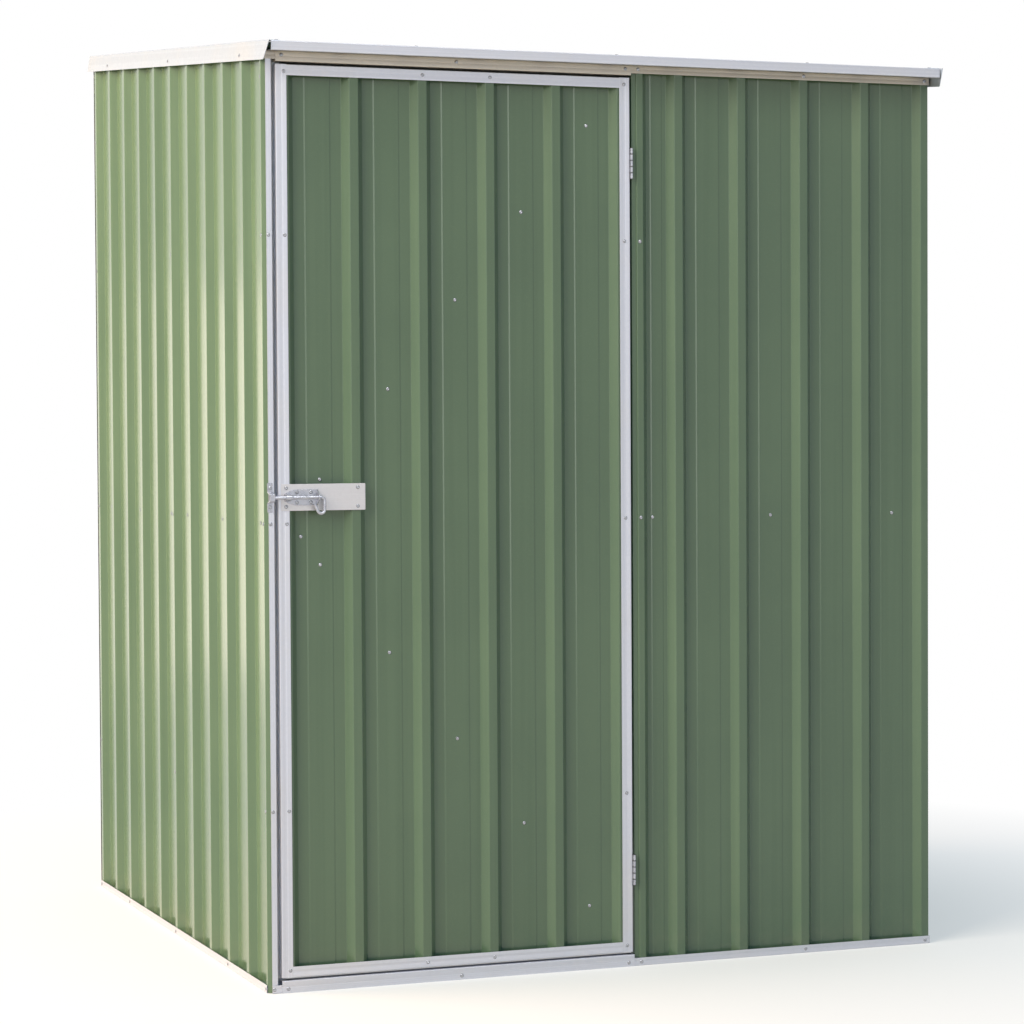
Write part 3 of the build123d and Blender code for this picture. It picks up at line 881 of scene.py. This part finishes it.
def setRivets(body, tree):
    seats = rivetSeats[body]
    mesh = bpy.data.meshes.new(body + "Seats")
    mesh.from_pydata([place - normal * rivetHead["sunk"] for place, normal in seats], [], [])
    facing = mesh.attributes.new("facing", "FLOAT_VECTOR", "POINT")
    facing.data.foreach_set("vector", [part for _, normal in seats for part in normal])
    draft = bpy.data.objects.new(body + "Seats", mesh)
    scene.collection.objects.link(draft)
    modifier = draft.modifiers.new("rivets", "NODES")
    modifier.node_group = tree
    for item in tree.interface.items_tree:
        if item.in_out == "INPUT" and item.name.lower() in rivetHead:
            modifier[item.identifier] = rivetHead[item.name.lower()]
    bpy.context.view_layer.update()
    graph = bpy.context.evaluated_depsgraph_get()
    heads = bpy.data.meshes.new_from_object(draft.evaluated_get(graph))
    draft.modifiers.remove(modifier)
    bpy.data.objects.remove(draft)
    piece = bpy.data.objects.new(body + "_rivets", heads)
    scene.collection.objects.link(piece)
    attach(piece, body)
    print(body, "rivets:", len(seats), "heads,", len(heads.polygons), "faces")


rivetTree = makeRivetTree()
for bodyName in rivetSeats:
    setRivets(bodyName, rivetTree)

# Floor, white backdrop and soft light
studio = {
    "white": (1.0, 1.0, 1.0, 1.0),
    "floorSize": 60.0,
    "floorColour": (0.86, 0.86, 0.85, 1.0),
    "bounceColour": (0.64, 0.54, 0.40, 1.0),  # what the floor throws back on the shed
    "fadeStart": 0.9,  # the floor fades into the backdrop between these distances
    "fadeEnd": 2.4,
    "fadeLeast": 0.4,
    "skyHigh": (0.36, 0.56, 0.70, 1.0),
    "skyLow": (0.165, 0.24, 0.285, 1.0),
    "skyTop": 0.8,
    "leftShare": 1.2,
    "rightShare": 0.7,
}
# A lamp shows in diffuse light, in reflections or in both
lamps = {
    "leftLamp": {
        "place": (-9.0, -4.2, 6.1),
        "aim": (0.0, -0.7, 1.0),
        "size": (7.5, 7.5),
        "power": 1440.0,
        "colour": (1.0, 0.83, 0.64),
        "shows": ("diffuse",),
    },
    "sideLamp": {
        "place": (-4.6, 5.6, 0.9),
        "aim": (-0.76, 0.0, 0.9),
        "size": (5.0, 1.8),
        "power": 42.0,
        "colour": (1.0, 0.87, 0.66),
        "shows": ("diffuse", "glossy"),
    },
    "keyLamp": {
        "place": (-6.5, 2.0, 3.4),
        "aim": (-0.5, 0.0, 1.0),
        "size": (4.5, 4.0),
        "power": 700.0,
        "colour": (1.0, 0.64, 0.38),
        "shows": ("diffuse",),
    },
    "stripLamp": {
        "place": (-1.3, -9.0, 2.6),
        "aim": (-0.1, -0.75, 1.1),
        "size": (2.6, 5.0),
        "power": 80.0,
        "colour": (1.0, 1.0, 1.0),
        "shows": ("glossy",),
    },
    "highLamp": {
        "place": (-1.8, -5.6, 7.4),
        "aim": (-0.7, -0.75, 1.0),
        "size": (9.0, 1.2),
        "power": 420.0,
        "colour": (1.0, 1.0, 1.0),
        "shows": ("glossy",),
    },
}


def seesBackdrop(tree):
    path = addNode(tree, "ShaderNodeLightPath").outputs
    seen = calculate(tree, "MAXIMUM", path["Is Camera Ray"], path["Is Glossy Ray"])
    return calculate(tree, "MAXIMUM", seen, path["Is Transmission Ray"])


def makeWorld():
    world = bpy.data.worlds.new("softSky")
    world.use_nodes = True
    tree = world.node_tree
    tree.nodes.clear()
    way = addNode(tree, "ShaderNodeTexCoord").outputs["Generated"]
    parts = addNode(tree, "ShaderNodeSeparateXYZ", {0: way}).outputs
    high = remap(tree, parts["Z"], 0, studio["skyTop"], 0, 1)
    colour = mixColour(tree, high, studio["skyLow"], studio["skyHigh"])
    share = remap(tree, parts["X"], -1, 1, studio["leftShare"], studio["rightShare"])
    sky = addNode(tree, "ShaderNodeBackground", {0: colour, 1: share}).outputs[0]
    white = addNode(tree, "ShaderNodeBackground", {0: studio["white"], 1: 1.0}).outputs[0]
    inputs = {0: seesBackdrop(tree), 1: sky, 2: white}
    mixed = addNode(tree, "ShaderNodeMixShader", inputs).outputs[0]
    addNode(tree, "ShaderNodeOutputWorld", {0: mixed})
    scene.world = world


def makeFloor():
    half = studio["floorSize"] / 2
    mesh = bpy.data.meshes.new("floor")
    corners = [(-half, -half, 0), (half, -half, 0), (half, half, 0), (-half, half, 0)]
    mesh.from_pydata(corners, [], [(0, 1, 2, 3)])
    floor = bpy.data.objects.new("floor", mesh)
    scene.collection.objects.link(floor)
    material = bpy.data.materials.new("paleFloor")
    material.use_nodes = True
    tree = material.node_tree
    tree.nodes.clear()
    place = addNode(tree, "ShaderNodeTexCoord").outputs["Object"]
    away = addNode(tree, "ShaderNodeVectorMath", {0: place}, operation="LENGTH").outputs["Value"]
    faded = remap(tree, away, studio["fadeStart"], studio["fadeEnd"], studio["fadeLeast"], 1)
    seen = seesBackdrop(tree)
    colour = mixColour(tree, seen, studio["bounceColour"], studio["floorColour"])
    matt = addNode(tree, "ShaderNodeBsdfDiffuse", {"Color": colour}).outputs[0]
    inputs = {"Color": studio["white"], "Strength": 1.0}
    white = addNode(tree, "ShaderNodeEmission", inputs).outputs[0]
    inputs = {0: calculate(tree, "MULTIPLY", faded, seen), 1: matt, 2: white}
    mixed = addNode(tree, "ShaderNodeMixShader", inputs).outputs[0]
    addNode(tree, "ShaderNodeOutputMaterial", {0: mixed})
    mesh.materials.append(material)


def makeLamps():
    for name, lamp in lamps.items():
        light = bpy.data.lights.new(name, "AREA")
        light.shape = "RECTANGLE"
        light.size, light.size_y = lamp["size"]
        light.energy = lamp["power"]
        light.color = lamp["colour"]
        body = bpy.data.objects.new(name, light)
        body.location = lamp["place"]
        body.rotation_mode = "QUATERNION"
        way = Vector(lamp["aim"]) - Vector(lamp["place"])
        body.rotation_quaternion = way.to_track_quat("-Z", "Y")
        body.visible_diffuse = "diffuse" in lamp["shows"]
        body.visible_glossy = "glossy" in lamp["shows"]
        scene.collection.objects.link(body)


makeWorld()
makeFloor()
makeLamps()
print("floor and light set")
